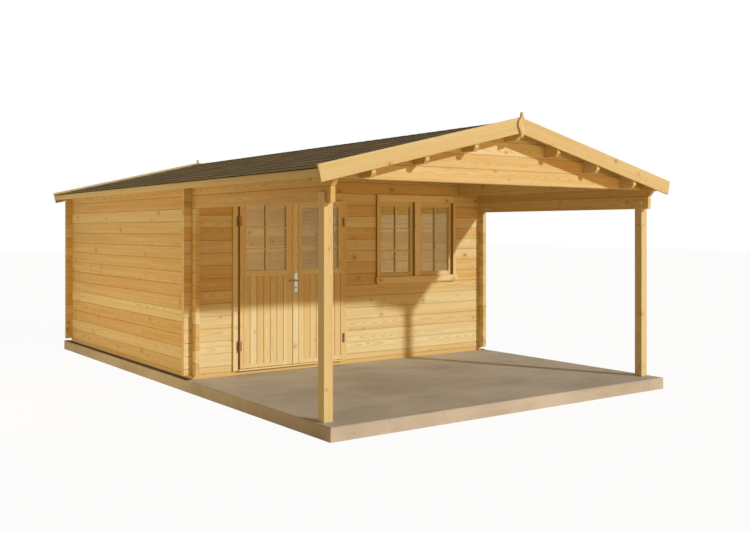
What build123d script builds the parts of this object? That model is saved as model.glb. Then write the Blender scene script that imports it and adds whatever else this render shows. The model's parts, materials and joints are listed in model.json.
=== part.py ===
from build123d import *
import os
from math import cos, radians, sin, tan

# Garden house of interlocking logs with a covered porch, standing on a concrete slab.
# Millimetres, +Z up, ground at Z = 0, +Y towards the back, origin under the middle of the roof.

# Slab
slab_thickness = 120.0
slab_side_margin = 70.0
slab_back_margin = 104.0
slab_edge = 8.0

# Logs: courses of the side walls lie half a log away from those of the front and back walls
log_thickness = 45.0
log_pitch = 135.0
log_stub = 90.0
log_groove = 6.0
base_beam_height = 45.0
side_courses = 13
front_courses = 14
sill_courses = 6
seat = 0.3
overrun = 50.0

# Cabin and porch
cabin_width = 4080.0
cabin_depth = 4080.0
porch_depth = 2792.0
post_size = 90.0
post_setback = 220.0
post_cheek_height = 90.0

# Roof
roof_pitch = 13.4
eave_log_height = 154.0
eave_log_bevel = 84.0
roof_back_overhang = 228.0
eave_overhang = 188.0
roof_board = 16.0
roof_covering = 3.0
drip_overhang = 12.0
ridge_cap_reach = 125.0
ridge_cap_sheet = 4.0
purlin_width = 45.0
purlin_depth = 165.0
purlin_bevel = 30.0
purlin_foot = 10.0
purlin_place_shares = (0.318, 0.659, 1.0)
fascia_thickness = 20.0
fascia_height = 66.0
bargeboard_width = 145.0
bargeboard_thickness = 23.0
bargeboard_upstand = 30.0
finial_height = 241.0
finial_width = 100.0
finial_thickness = 20.0
finial_above_board = 46.0
finial_height_shares = (0.0, 0.13, 0.28, 0.52, 0.73, 0.96, 1.0)
finial_width_shares = (0.0, 0.29, 0.70, 1.0, 0.55, 0.20, 0.0)

# Door
door_margin = 467.0
door_width = 1475.0
casing_width = 62.0
casing_lap = 35.0
casing_proud = 25.0
lining_proud = 20.0
door_head_height = 85.0
stop_lip = 15.0
threshold_height = 17.0
threshold_nose = 20.0
leaf_gap = 6.0
leaf_foot_gap = 8.0
leaf_thickness = 42.0
leaf_proud = 30.0
meeting_offset = 57.0
meeting_gap = 7.0
hinge_stile = 71.0
meeting_stile = 38.0
panel_stile = 38.0
pane_height = 716.0
pane_bite = 10.0
glass_thickness = 6.0
top_rail = 67.0
lock_rail = 57.0
bottom_rail = 43.0
panel_recess = 12.0
strip_width = 72.0
strip_thickness = 12.0

# Hinges and handle
hinge_height = 105.0
hinge_inset = 195.0
frame_plate = 26.0
leaf_plate = 12.0
hinge_sheet = 3.0
knuckle_radius = 8.0
knuckle_gap = 0.5
pin_radius = 4.0
handle_plate_width = 38.0
handle_plate_height = 211.0
handle_plate_sheet = 8.0
handle_height = 807.0
lever_drop = 80.0
spindle_radius = 7.0
lever_width = 18.0
lever_thickness = 9.0
lever_reach = 115.0
lever_stand_off = 48.0

# Window
middle_pier = 437.0
window_margin = 460.0
window_side = 45.0
window_lap = 25.0
window_mullion = 91.0
window_head = 85.0
window_foot = 82.0
window_proud = 30.0
window_lining_proud = 15.0
sash_setback = 12.0
sash_thickness = 40.0
sash_stile = 44.0
sash_top_rail = 55.0
sash_foot_rail = 44.0
sill_height = 68.0
sill_thickness = 18.0
sill_ear = 15.0

# Places worked out from the sizes
half_log = log_thickness / 2
floor = slab_thickness
roof_length = porch_depth + cabin_depth + roof_back_overhang
roof_front = -roof_length / 2
roof_back = roof_length / 2
front_face = roof_front + porch_depth
back_face = front_face + cabin_depth
front_middle = front_face + half_log
back_middle = back_face - half_log
side_middle = cabin_width / 2 - half_log
porch_middle = roof_front + post_setback
porch_beam_front = porch_middle - half_log - log_stub
timber_front = roof_front + bargeboard_thickness + seat
timber_back = roof_back - bargeboard_thickness - seat
corner_reach = cabin_width / 2 + log_stub
notch = log_pitch / 4
base_top = floor + base_beam_height
beam_low = base_top + log_pitch * side_courses
eave_low = beam_low + log_pitch
rise = tan(radians(roof_pitch))
slope = cos(radians(roof_pitch))
eave_edge = cabin_width / 2 + eave_overhang
fascia_outer = eave_edge - drip_overhang
fascia_inner = fascia_outer - fascia_thickness


def front_line(course):
    """Height of the joint under a course of the front and back walls."""
    return base_top + log_pitch / 2 + log_pitch * course


def underside(x):
    """Height of the roof boards' underside over a place x."""
    return eave_low + eave_log_height + rise * (cabin_width / 2 - abs(x))


def boards_top(x):
    return underside(x) + roof_board / slope


def covering_top(x):
    return boards_top(x) + roof_covering / slope


gable_low = front_line(front_courses)
outer_purlin_drop = gable_low + purlin_foot + purlin_depth - eave_low - eave_log_height
outer_purlin = cabin_width / 2 - outer_purlin_drop / rise
purlin_places = [side * share * outer_purlin for side in (-1, 1) for share in purlin_place_shares]


def block(x0, x1, y0, y1, z0, z1):
    """Plain squared piece between two corners."""
    middle = Pos((x0 + x1) / 2, (y0 + y1) / 2, (z0 + z1) / 2)
    return middle * Box(abs(x1 - x0), abs(y1 - y0), abs(z1 - z0))


def along_x(outline, x0, x1):
    """Outline in Y and Z, carried from x0 to x1."""
    face = Plane.YZ * Polygon(*outline, align=None)
    return Pos(x0, 0, 0) * extrude(face, amount=x1 - x0, dir=(1, 0, 0))


def along_y(outline, y0, y1):
    """Outline in X and Z, carried from y0 to y1."""
    face = Plane.XZ * Polygon(*outline, align=None)
    return Pos(0, y0, 0) * extrude(face, amount=y1 - y0, dir=(0, 1, 0))


def along_z(outline, z0, z1):
    """Outline in X and Y, carried from z0 to z1."""
    face = Polygon(*outline, align=None)
    return Pos(0, 0, z0) * extrude(face, amount=z1 - z0, dir=(0, 0, 1))


def save(node, *solids):
    """One file for a node, holding its solids."""
    shape = solids[0] if len(solids) == 1 else Compound(children=list(solids))
    export_step(shape, f"parts/{node}.step")


def log_section(middle, low, high):
    """Section of a log: its four long edges slope, so that two logs meet in a V."""
    left = middle - half_log
    right = middle + half_log
    return [
        (left + log_groove, low),
        (right - log_groove, low),
        (right, low + log_groove),
        (right, high - log_groove),
        (right - log_groove, high),
        (left + log_groove, high),
        (left, high - log_groove),
        (left, low + log_groove),
    ]


def notch_span(middle):
    """The stretch of a log that a crossing log's thickness takes up."""
    return middle - half_log - seat, middle + half_log + seat


def side_log(side, low, y0, y1):
    """One log of a side wall, notched above and below where the front and back logs cross it."""
    x_middle = side * side_middle
    high = low + log_pitch
    log = along_y(log_section(x_middle, low + seat / 2, high - seat / 2), y0, y1)
    for crossing in (front_middle, back_middle):
        c0, c1 = notch_span(crossing)
        low_cut = low + notch + seat / 2
        high_cut = high - notch - seat / 2
        log -= block(x_middle - log_thickness, x_middle + log_thickness, c0, c1, low - overrun, low_cut)
        log -= block(x_middle - log_thickness, x_middle + log_thickness, c0, c1, high_cut, high + overrun)
    return log


def cross_log(y_middle, low, high, x0, x1, bottom=False):
    """One log of the front or back wall, notched where the side walls cross it."""
    log = along_x(log_section(y_middle, low + seat / 2, high - seat / 2), x0, x1)
    y0 = y_middle - log_thickness
    y1 = y_middle + log_thickness
    for side in (-1, 1):
        c0, c1 = notch_span(side * side_middle)
        if c1 < x0 or c0 > x1:
            continue
        log -= block(c0, c1, y0, y1, high - notch - seat / 2, high + overrun)
        if not bottom:
            log -= block(c0, c1, y0, y1, low - overrun, low + notch + seat / 2)
    return log


def cross_wall(y_middle, x0, x1, first, last):
    """A stack of front or back wall logs between two places; course -1 is the half log at the bottom."""
    logs = []
    for course in range(first, last):
        bottom = course < 0
        low = base_top if bottom else front_line(course)
        logs.append(cross_log(y_middle, low, front_line(course + 1), x0, x1, bottom))
    return logs


def eave_log(side):
    """The top log of a side wall: bevelled to the roof, it runs out over the porch to the bargeboards."""
    left = side * side_middle - half_log
    right = side * side_middle + half_log
    low = eave_low + seat / 2
    outline = [
        (left + log_groove, low),
        (right - log_groove, low),
        (right, low + log_groove),
        (right, underside(right) - seat),
        (left, underside(left) - seat),
        (left, low + log_groove),
    ]
    log = along_y(outline, timber_front, timber_back)
    x0 = left - half_log
    x1 = right + half_log
    for crossing in (front_middle, back_middle, porch_middle):
        c0, c1 = notch_span(crossing)
        log -= block(x0, x1, c0, c1, gable_low + notch - seat / 2, gable_low + log_pitch + overrun)
    for crossing in (front_middle, back_middle):
        c0, c1 = notch_span(crossing)
        log -= block(x0, x1, c0, c1, low - overrun, gable_low - notch + seat / 2)
    return log - end_bevels(x0, x1, low, eave_log_bevel)


def end_bevels(x0, x1, low, bevel):
    """Slanting cuts under both ends of a timber that carries the roof out to the bargeboards."""
    cuts = []
    for end, way in ((timber_front, 1), (timber_back, -1)):
        outer = end - way * overrun
        outline = [
            (outer, low - overrun),
            (end + way * (bevel + overrun), low - overrun),
            (outer, low + bevel + overrun),
        ]
        cuts.append(along_x(outline, x0, x1))
    return cuts


def purlin(x):
    """A roof timber under the boards, bevelled to the slope on top."""
    left = x - purlin_width / 2
    right = x + purlin_width / 2
    low = underside(x) - purlin_depth
    top = [(right, underside(right) - seat), (left, underside(left) - seat)]
    if x == 0:
        top.insert(1, (0, underside(0) - seat))
    timber = along_y([(left, low), (right, low)] + top, timber_front, timber_back)
    return timber - end_bevels(left - overrun, right + overrun, low, purlin_bevel)


def gable(y_middle):
    """A gable of logs joined to one panel: grooved at each course, slotted for the roof timbers,
    and notched at its foot where it sits over the eave logs."""
    front = y_middle - half_log
    back = y_middle + half_log
    low = gable_low + seat / 2
    outline = [
        (-corner_reach, low),
        (corner_reach, low),
        (corner_reach, underside(corner_reach) - seat),
        (0, underside(0) - seat),
        (-corner_reach, underside(corner_reach) - seat),
    ]
    panel = along_y(outline, front, back)
    reach = corner_reach + overrun
    for face, way in ((front, 1), (back, -1)):
        foot = [(face, low), (face + way * log_groove, low), (face, low + log_groove)]
        panel -= along_x(foot, -reach, reach)
        level = gable_low + log_pitch
        while level < underside(0) - log_groove:
            inner = face + way * log_groove
            groove = [(face, level - log_groove), (inner, level), (face, level + log_groove)]
            panel -= along_x(groove, -reach, reach)
            level += log_pitch
    for side in (-1, 1):
        c0, c1 = notch_span(side * side_middle)
        panel -= block(c0, c1, front - overrun, back + overrun, low - overrun, gable_low + notch + seat / 2)
    for x in purlin_places + [0]:
        slot = purlin_width / 2 + seat
        slot_low = underside(x) - purlin_depth - seat
        panel -= block(x - slot, x + slot, front - overrun, back + overrun, slot_low, underside(0) + overrun)
    return panel


def post(side):
    """A porch post, forked at the top round the beam log that it carries."""
    x_middle = side * side_middle
    half = post_size / 2
    top = beam_low + post_cheek_height
    timber = block(x_middle - half, x_middle + half, porch_middle - half, porch_middle + half,
                   floor + seat, top)
    slot0, slot1 = notch_span(x_middle)
    return timber - block(slot0, slot1, porch_middle - post_size, porch_middle + post_size,
                          beam_low - seat / 2, top + overrun)


def slope_sheet(side, x0, x1, low, thickness):
    """A flat layer of one roof slope; low gives the height of its underside."""
    outline = [
        (side * x0, low(x0)),
        (side * x1, low(x1)),
        (side * x1, low(x1) + thickness / slope),
        (side * x0, low(x0) + thickness / slope),
    ]
    return along_y(outline, timber_front, timber_back)


def ridge_cap():
    """Folded strip over the ridge."""
    reach = ridge_cap_reach
    rise_of_sheet = ridge_cap_sheet / slope
    outline = [
        (-reach, covering_top(reach) + seat),
        (0, covering_top(0) + seat),
        (reach, covering_top(reach) + seat),
        (reach, covering_top(reach) + seat + rise_of_sheet),
        (0, covering_top(0) + seat + rise_of_sheet),
        (-reach, covering_top(reach) + seat + rise_of_sheet),
    ]
    return along_y(outline, timber_front, timber_back)


def fascia(side):
    """Board along the eave, under the covering's drip edge."""
    low = boards_top(fascia_outer) - seat - fascia_height
    outline = [
        (side * fascia_inner, low),
        (side * fascia_outer, low),
        (side * fascia_outer, boards_top(fascia_outer) - seat),
        (side * fascia_inner, boards_top(fascia_inner) - seat),
    ]
    return along_y(outline, timber_front, timber_back)


def board_top(x):
    """Height of the bargeboards' top edge."""
    return covering_top(x) + bargeboard_upstand / slope


def bargeboard(side, y0, y1):
    """Board along the roof's edge, mitred at the ridge and cut square to the slope at the eave."""
    foot_back = bargeboard_width * sin(radians(roof_pitch))
    foot_drop = bargeboard_width * slope
    outline = [
        (side * seat / 2, board_top(0)),
        (side * eave_edge, board_top(eave_edge)),
        (side * (eave_edge - foot_back), board_top(eave_edge) - foot_drop),
        (side * seat / 2, board_top(0) - bargeboard_width / slope),
    ]
    return along_y(outline, y0, y1)


def finial(y0, y1):
    """Leaf-shaped board over the mitre of two bargeboards, with one curve down each side."""
    top = board_top(0) + finial_above_board
    shares = zip(finial_width_shares, finial_height_shares)
    places = [(w * finial_width / 2, top - h * finial_height) for w, h in shares]
    right = Spline(*places, tangents=((1, 0), (-1, 0)))
    left = mirror(right, about=Plane.YZ)
    face = Plane.XZ * make_face([right, left])
    return Pos(0, y0, 0) * extrude(face, amount=y1 - y0, dir=(0, 1, 0))


# Door places
door_middle = -cabin_width / 2 + door_margin + door_width / 2
door_top = gable_low
casing_front = front_face - casing_proud
leaf_front = casing_front - leaf_proud
leaf_back = leaf_front + leaf_thickness
stop_front = leaf_back + leaf_gap
wall_back = front_face + log_thickness
lining_back = wall_back + lining_proud
head_low = door_top - door_head_height
threshold_top = base_top + threshold_height
leaf_low = threshold_top + leaf_foot_gap
leaf_high = head_low - leaf_gap
pane_high = leaf_high - top_rail
pane_low = pane_high - pane_height
panel_high = pane_low - lock_rail
panel_low = leaf_low + bottom_rail
meeting = door_middle + meeting_offset
right_leaf_width = door_width / 2 - casing_width - leaf_gap - meeting_offset - meeting_gap / 2
pane_width = right_leaf_width - hinge_stile - meeting_stile
hinge_y = leaf_front - knuckle_radius - hinge_sheet / 2
hinge_levels = (leaf_low + hinge_inset + hinge_height / 2, leaf_high - hinge_inset - hinge_height / 2)


def door_edge(side):
    """Inner edge of the casing on one side of the doorway."""
    return door_middle + side * (door_width / 2 - casing_width)


def wall_edge(side):
    """Where the logs end beside the doorway."""
    return door_middle + side * (door_width / 2 - casing_lap)


def hinge_x(side):
    return door_edge(side) - side * leaf_gap / 2


def leaf_span(side):
    """Left and right edges of one leaf."""
    if side < 0:
        return door_edge(-1) + leaf_gap, meeting - meeting_gap / 2
    return meeting + meeting_gap / 2, door_edge(1) - leaf_gap


def opening_span(side, stile):
    """Left and right edges of an opening in one leaf, a stile's width from its hinges."""
    x0, x1 = leaf_span(side)
    if side < 0:
        return x0 + stile, x0 + stile + pane_width
    return x1 - stile - pane_width, x1 - stile


def door_jamb(side):
    """Upright of the door frame: a channel round the log ends, with a stop behind the leaf."""
    outer = door_middle + side * door_width / 2
    inner = door_edge(side)
    cut = wall_edge(side) - side * seat
    outline = [
        (outer, casing_front),
        (inner, casing_front),
        (inner, lining_back),
        (outer, lining_back),
        (outer, wall_back + seat),
        (cut, wall_back + seat),
        (cut, front_face - seat),
        (outer, front_face - seat),
    ]
    upright = along_z(outline, base_top + seat, door_top - seat)
    lip = block(inner + side * seat, inner - side * stop_lip, stop_front, lining_back,
                threshold_top + seat, head_low - stop_lip - seat)
    return upright + lip


def door_head():
    outline = [
        (casing_front, head_low),
        (stop_front, head_low),
        (stop_front, head_low - stop_lip),
        (lining_back, head_low - stop_lip),
        (lining_back, door_top - seat),
        (casing_front, door_top - seat),
    ]
    return along_x(outline, door_edge(-1) + seat, door_edge(1) - seat)


def door_threshold():
    return block(door_edge(-1) + seat, door_edge(1) - seat, casing_front - threshold_nose, lining_back,
                 base_top + seat, threshold_top)


def door_leaf(side):
    """Framed leaf with an opening for its glass and a recessed panel below the lock rail."""
    x0, x1 = leaf_span(side)
    p0, p1 = opening_span(side, hinge_stile)
    b0, b1 = opening_span(side, panel_stile)
    leaf = block(x0, x1, leaf_front, leaf_back, leaf_low, leaf_high)
    leaf -= block(p0, p1, leaf_front - overrun, leaf_back + overrun, pane_low, pane_high)
    middle = (leaf_front + leaf_back) / 2
    half = glass_thickness / 2 + seat
    leaf -= block(p0 - pane_bite, p1 + pane_bite, middle - half, middle + half,
                  pane_low - pane_bite, pane_high + pane_bite)
    leaf -= block(b0, b1, leaf_front - overrun, leaf_front + panel_recess, panel_low, panel_high)
    leaf -= block(b0, b1, leaf_back - panel_recess, leaf_back + overrun, panel_low, panel_high)
    return leaf


def door_glass(side):
    p0, p1 = opening_span(side, hinge_stile)
    middle = (leaf_front + leaf_back) / 2
    half = glass_thickness / 2
    bite = pane_bite - seat
    return block(p0 - bite, p1 + bite, middle - half, middle + half, pane_low - bite, pane_high + bite)


def meeting_strip():
    """Cover strip on the left leaf's meeting stile."""
    x1 = leaf_span(-1)[1]
    return block(x1 - strip_width, x1, leaf_front - strip_thickness, leaf_front - seat, leaf_low, leaf_high)


def knuckle(x, z0, z1):
    middle = (z0 + z1) / 2
    return Pos(x, hinge_y, middle) * Cylinder(knuckle_radius, z1 - z0)


def frame_hinge(side, level):
    """Plate on the casing with an upper and a lower knuckle and the pin between them."""
    x = hinge_x(side)
    low = level - hinge_height / 2
    high = level + hinge_height / 2
    third = hinge_height / 3
    web = hinge_sheet / 2
    plate_back = casing_front - seat
    hinge = block(x + side * frame_plate, x - web, plate_back - hinge_sheet, plate_back, low, high)
    hinge += block(x - web, x + web, plate_back - hinge_sheet, plate_back, low, high)
    for z0, z1 in ((low, low + third), (high - third, high)):
        hinge += block(x - web, x + web, hinge_y, plate_back, z0, z1)
        hinge += knuckle(x, z0, z1)
    return hinge + Pos(x, hinge_y, level) * Cylinder(pin_radius, hinge_height)


def leaf_hinge(side, level):
    """Plate on the leaf with the middle knuckle, bored for the pin."""
    x = hinge_x(side)
    half = hinge_height / 6 - knuckle_gap
    inner = x - side * (knuckle_radius + hinge_sheet)
    outer = inner - side * leaf_plate
    back = leaf_front - seat
    hinge = block(inner, outer, back - hinge_sheet, back, level - hinge_height / 2, level + hinge_height / 2)
    hinge += block(x, inner, back - hinge_sheet, back, level - half, level + half)
    hinge += knuckle(x, level - half, level + half)
    return hinge - Pos(x, hinge_y, level) * Cylinder(pin_radius + seat, hinge_height)


# Handle places
handle_x = leaf_span(-1)[1] - strip_width / 2
handle_low = leaf_low + handle_height
handle_back = leaf_front - strip_thickness - seat
handle_front = handle_back - handle_plate_sheet
lever_level = handle_low + handle_plate_height - lever_drop


def handle_plate():
    half = handle_plate_width / 2
    return block(handle_x - half, handle_x + half, handle_front, handle_back,
                 handle_low, handle_low + handle_plate_height)


def door_lever():
    """Spindle standing out of the plate, with a flat round-ended lever turned towards the hinges."""
    start = handle_front - seat
    end = handle_front - lever_stand_off
    length = start - end
    middle = Pos(handle_x, start - length / 2, lever_level)
    spindle = middle * Rot(90, 0, 0) * Cylinder(spindle_radius, length)
    outline = Plane.XZ * SlotOverall(lever_reach + lever_width / 2, lever_width)
    bar = extrude(outline, amount=lever_thickness, dir=(0, -1, 0))
    shift = (lever_reach - lever_width / 2) / 2
    return spindle + Pos(handle_x - shift, end + lever_thickness, lever_level) * bar


# Window places
window_width = cabin_width - door_margin - door_width - middle_pier - window_margin
window_middle = cabin_width / 2 - window_margin - window_width / 2
window_low = front_line(sill_courses)
window_high = gable_low
window_front = front_face - window_proud
sash_front = front_face + sash_setback
sash_back = sash_front + sash_thickness
light_low = window_low + window_foot
light_high = window_high - window_head
light_width = (window_width - 2 * window_side - window_mullion) / 2


def window_edge(side):
    """Outer edge of the window's frame."""
    return window_middle + side * window_width / 2


def window_cut(side):
    """Where the logs end beside the window."""
    return window_edge(side) - side * window_lap


def light_span(side):
    """Left and right edges of one of the frame's two lights."""
    inner = window_middle + side * window_mullion / 2
    outer = inner + side * light_width
    return min(inner, outer), max(inner, outer)


def window_frame():
    """Frame lapped over the wall outside, lined through its thickness, with a middle post."""
    frame = block(window_edge(-1), window_edge(1), window_front, front_face - seat,
                  window_low + seat, window_high - seat)
    frame += block(window_cut(-1) + seat, window_cut(1) - seat, window_front, wall_back + window_lining_proud,
                   window_low + seat, window_high - seat)
    for side in (-1, 1):
        x0, x1 = light_span(side)
        frame -= block(x0, x1, window_front - overrun, wall_back + overrun, light_low, light_high)
    return frame


def window_sash(side):
    x0, x1 = light_span(side)
    sash = block(x0 + seat, x1 - seat, sash_front, sash_back, light_low + seat, light_high - seat)
    g0 = x0 + sash_stile
    g1 = x1 - sash_stile
    low = light_low + sash_foot_rail
    high = light_high - sash_top_rail
    sash -= block(g0, g1, sash_front - overrun, sash_back + overrun, low, high)
    middle = (sash_front + sash_back) / 2
    half = glass_thickness / 2 + seat
    sash -= block(g0 - pane_bite, g1 + pane_bite, middle - half, middle + half,
                  low - pane_bite, high + pane_bite)
    return sash


def window_glass(side):
    x0, x1 = light_span(side)
    bite = pane_bite - seat
    middle = (sash_front + sash_back) / 2
    half = glass_thickness / 2
    return block(x0 + sash_stile - bite, x1 - sash_stile + bite, middle - half, middle + half,
                 light_low + sash_foot_rail - bite, light_high - sash_top_rail + bite)


def window_sill():
    return block(window_edge(-1) - sill_ear, window_edge(1) + sill_ear, window_front - seat - sill_thickness,
                 window_front - seat, light_low - sill_height, light_low)


os.makedirs("parts", exist_ok=True)
sides = (("left", -1), ("right", 1))

# Ground
slab_half = cabin_width / 2 + slab_side_margin
slab = block(-slab_half, slab_half, roof_front, back_face + slab_back_margin, 0, slab_thickness)
save("concrete_slab", chamfer(slab.faces().sort_by(Axis.Z)[-1].edges(), slab_edge))
beam_x = cabin_width / 2
base_beams = []
for _, side in sides:
    base_beams.append(block(side * beam_x, side * (beam_x - log_thickness), front_face, back_face,
                            floor + seat, base_top))
for y0, y1 in ((front_face, wall_back), (back_face - log_thickness, back_face)):
    base_beams.append(block(-beam_x + log_thickness + seat, beam_x - log_thickness - seat, y0, y1,
                            floor + seat, base_top))
save("base_beams", *base_beams)

# Walls
stub_front = front_face - log_stub
stub_back = back_face + log_stub
for name, side in sides:
    courses = [base_top + log_pitch * course for course in range(side_courses)]
    save(f"{name}_wall", *[side_log(side, low, stub_front, stub_back) for low in courses])
    save(f"{name}_porch_beam", side_log(side, beam_low, porch_beam_front, stub_back))
    save(f"{name}_eave_log", eave_log(side))
save("back_wall", *cross_wall(back_middle, -corner_reach, corner_reach, -1, front_courses))
save("front_wall_left", *cross_wall(front_middle, -corner_reach, wall_edge(-1), -1, front_courses))
save("front_wall_low", *cross_wall(front_middle, wall_edge(1), corner_reach, -1, sill_courses))
pier_logs = cross_wall(front_middle, wall_edge(1), window_cut(-1), sill_courses, front_courses)
save("front_wall_middle", *pier_logs)
save("front_wall_right", *cross_wall(front_middle, window_cut(1), corner_reach, sill_courses, front_courses))
save("front_gable", gable(front_middle))
save("back_gable", gable(back_middle))
save("porch_gable", gable(porch_middle))
save("porch_posts", *[post(side) for _, side in sides])

# Roof
save("ridge_purlin", purlin(0))
save("purlins", *[purlin(x) for x in purlin_places])
for name, side in sides:
    save(f"{name}_roof_boards", slope_sheet(side, seat / 2, fascia_inner - seat, underside, roof_board))
    save(f"{name}_roof_covering", slope_sheet(side, seat / 2, eave_edge, boards_top, roof_covering))
save("ridge_cap", ridge_cap())
save("eave_fascias", *[fascia(side) for _, side in sides])
front_boards = (roof_front, roof_front + bargeboard_thickness)
back_boards = (roof_back - bargeboard_thickness, roof_back)
save("front_bargeboards", *[bargeboard(side, *front_boards) for _, side in sides])
save("back_bargeboards", *[bargeboard(side, *back_boards) for _, side in sides])
front_finial = finial(roof_front - seat - finial_thickness, roof_front - seat)
back_finial = finial(roof_back + seat, roof_back + seat + finial_thickness)
save("finials", front_finial, back_finial)

# Door
save("door_jambs", *[door_jamb(side) for _, side in sides])
save("door_head", door_head())
save("door_threshold", door_threshold())
save("frame_hinges", *[frame_hinge(side, level) for _, side in sides for level in hinge_levels])
for name, side in sides:
    save(f"{name}_door_leaf", door_leaf(side))
    save(f"{name}_door_glass", door_glass(side))
    save(f"{name}_leaf_hinges", *[leaf_hinge(side, level) for level in hinge_levels])
save("meeting_strip", meeting_strip())
save("handle_plate", handle_plate())
save("door_lever", door_lever())

# Window
save("window_frame", window_frame())
save("window_sill", window_sill())
save("window_sashes", *[window_sash(side) for _, side in sides])
save("window_glass", *[window_glass(side) for _, side in sides])
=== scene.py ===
import json
import math

import bmesh
import bpy
from mathutils import Matrix, Vector

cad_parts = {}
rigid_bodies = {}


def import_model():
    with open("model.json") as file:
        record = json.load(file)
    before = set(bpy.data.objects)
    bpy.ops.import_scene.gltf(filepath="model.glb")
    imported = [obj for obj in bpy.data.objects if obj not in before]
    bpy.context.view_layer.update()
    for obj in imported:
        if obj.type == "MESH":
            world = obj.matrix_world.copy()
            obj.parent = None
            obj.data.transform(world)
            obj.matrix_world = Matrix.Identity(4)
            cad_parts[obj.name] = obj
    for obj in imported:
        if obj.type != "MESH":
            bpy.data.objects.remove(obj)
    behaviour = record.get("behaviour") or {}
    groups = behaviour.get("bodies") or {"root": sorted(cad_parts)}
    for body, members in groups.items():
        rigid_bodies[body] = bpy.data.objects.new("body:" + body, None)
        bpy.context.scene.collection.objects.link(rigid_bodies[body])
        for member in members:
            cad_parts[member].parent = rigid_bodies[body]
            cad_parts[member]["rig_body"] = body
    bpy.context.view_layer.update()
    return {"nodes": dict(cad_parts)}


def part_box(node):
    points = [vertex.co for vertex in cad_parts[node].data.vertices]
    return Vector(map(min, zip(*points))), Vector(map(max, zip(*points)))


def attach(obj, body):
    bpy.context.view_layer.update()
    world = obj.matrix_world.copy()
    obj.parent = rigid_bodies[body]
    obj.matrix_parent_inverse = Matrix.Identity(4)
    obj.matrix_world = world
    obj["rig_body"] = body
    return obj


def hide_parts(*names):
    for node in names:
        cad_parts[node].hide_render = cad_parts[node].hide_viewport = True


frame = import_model()

# Garden house of interlocking pine logs, with a shingled roof that runs out over a porch on two posts.
# Metres, +Z up, +Y towards the back. Places come from the frame, and the sizes below are this object's own.

X, Y, Z = range(3)

# Logs, posts and roof timbers
LOG_PITCH = 0.135
BASE_BEAM_WIDTH = 0.045
POST_SIZE = 0.09
ROOF_PITCH = math.radians(13.4)
ROOF_SINE = math.sin(ROOF_PITCH)
ROOF_COSINE = math.cos(ROOF_PITCH)
ROOF_SLOPE = math.tan(ROOF_PITCH)
PURLIN_WIDTH = 0.045
PURLIN_PLACE_SHARES = (0.318, 0.659, 1.0)
PURLIN_SPACING = 0.565
PURLIN_START = -0.28
PURLIN_AXIS_DROP = 0.09
ROOF_BOARD_PITCH = 0.096
ROOF_BOARD_CHAMFER = 0.004
FASCIA_THICKNESS = 0.02

# Door and window
JAMB_WIDTH = 0.0775
PANEL_BOARDS = 6
PANEL_BOARD_THICKNESS = 0.0098
PANEL_BOARD_CHAMFER = 0.0046
PANEL_FOOT = 0.043
PANEL_HEAD = 0.057
PANEL_STILE = 0.038
PANEL_RECESS = 0.012
WINDOW_POST = 0.045
WINDOW_MIDDLE_POST = 0.091
WINDOW_RAIL = 0.085
SASH_STILE = 0.044
SASH_PANE_WIDTH = 0.442
GLASS_BITE = 0.0097
PANE_COLUMNS = 2
PANE_ROWS = 3
UPRIGHT_BAR = 0.017
LEVEL_BAR = 0.014
BAR_CHAMFER = 0.003
BAR_SETBACK = 0.002
OUTER_BEAD = 0.004
INNER_BEAD = 0.012
BEAD_FLAT_SHARE = 0.35
BEAD_EDGE_SHARE = 0.3

# Seams, clearances, and the dark strips of painted shade at the foot of the side walls
CLEARANCE = 0.0004
MERGE_DISTANCE = 0.00001
FLAT_ANGLE = math.radians(0.5)
SHARP_ANGLE = math.radians(25)
LOG_SEAM = 0.006
BOARD_SEAM = 0.005
SHADE_SHEET_THICKNESS = 0.003
SHADE_SHEET_MARGIN = 0.004

# Shingles
SHINGLE_EXPOSURE = 0.245
SHINGLE_TAB = 0.333
SHINGLE_SLOT = 0.008
SHINGLE_THICKNESS = 0.0025
SHINGLE_OVERLAP_SHARE = 0.3
SHINGLE_END_MARGIN = 0.001
RIDGE_TAB_EXPOSURE = 0.16
RIDGE_TAB_REACH = 0.125
RIDGE_TAB_OVERLAP_SHARE = 0.25
RIDGE_TAB_LIFT_SHARE = 1.6

# Fasteners and lock
FRONT_TILT = math.pi / 2
SCREW_RADIUS = 0.0034
SCREW_HEIGHT = 0.0016
SCREW_STEP = 0.036
SCREW_SIDES = 12
SOCKET_WIDTH_SHARE = 0.5
SOCKET_DEPTH_SHARE = 0.6
NAIL_RADIUS = 0.0028
NAIL_HEIGHT = 0.001
NAIL_DROPS = (0.05, 0.095)
HINGE_HEIGHT = 0.105
HINGE_SHEET = 0.003
FRAME_PLATE_EDGE = 0.008
LEAF_PLATE_EDGE = 0.006
PLATE_SCREW_EDGE = 0.012
FITTING_HEIGHT = 0.004
FITTING_PROUD = 0.0018
LOCK_RADIUS = 0.0085
LOCK_DROP = 0.159
COLLAR_RADIUS = 0.014
LEVER_DROP = 0.080

# Wood: strength of the painted shade in grooves and rebates, share of cells that hold a knot, and numbers that
# give pieces a grain of their own
LOG_GROOVE_SHADE = 0.2
BOARD_GROOVE_SHADE = 0.55
ROOF_GROOVE_SHADE = 0.4
REBATE_SHADE = 0.85
LOG_KNOTS = 0.16
TRIM_KNOTS = 0.13
DOOR_KNOTS = 0.06
ROOF_BOARD_KNOTS = 0.2
WALL_GRAIN_STEP = 40.0
ROOF_SIDE_GRAIN = 200.0
BEAM_GRAIN = 310.0
DOOR_BAR_GRAIN = {"left": 640.0, "right": 641.0}
WINDOW_BAR_GRAIN = 650.0
PANEL_GRAIN = {"left": 700.0, "right": 710.0}

# Spans in which the grain of glazing bars stands
DOOR_BAR_REACH = 1.0
WINDOW_BAR_SPAN = (0.0, 3.0)

# Depth of the relief in finishes
RELIEF_DEPTH = 0.002
METAL_RELIEF_DEPTH = 0.0005

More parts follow.
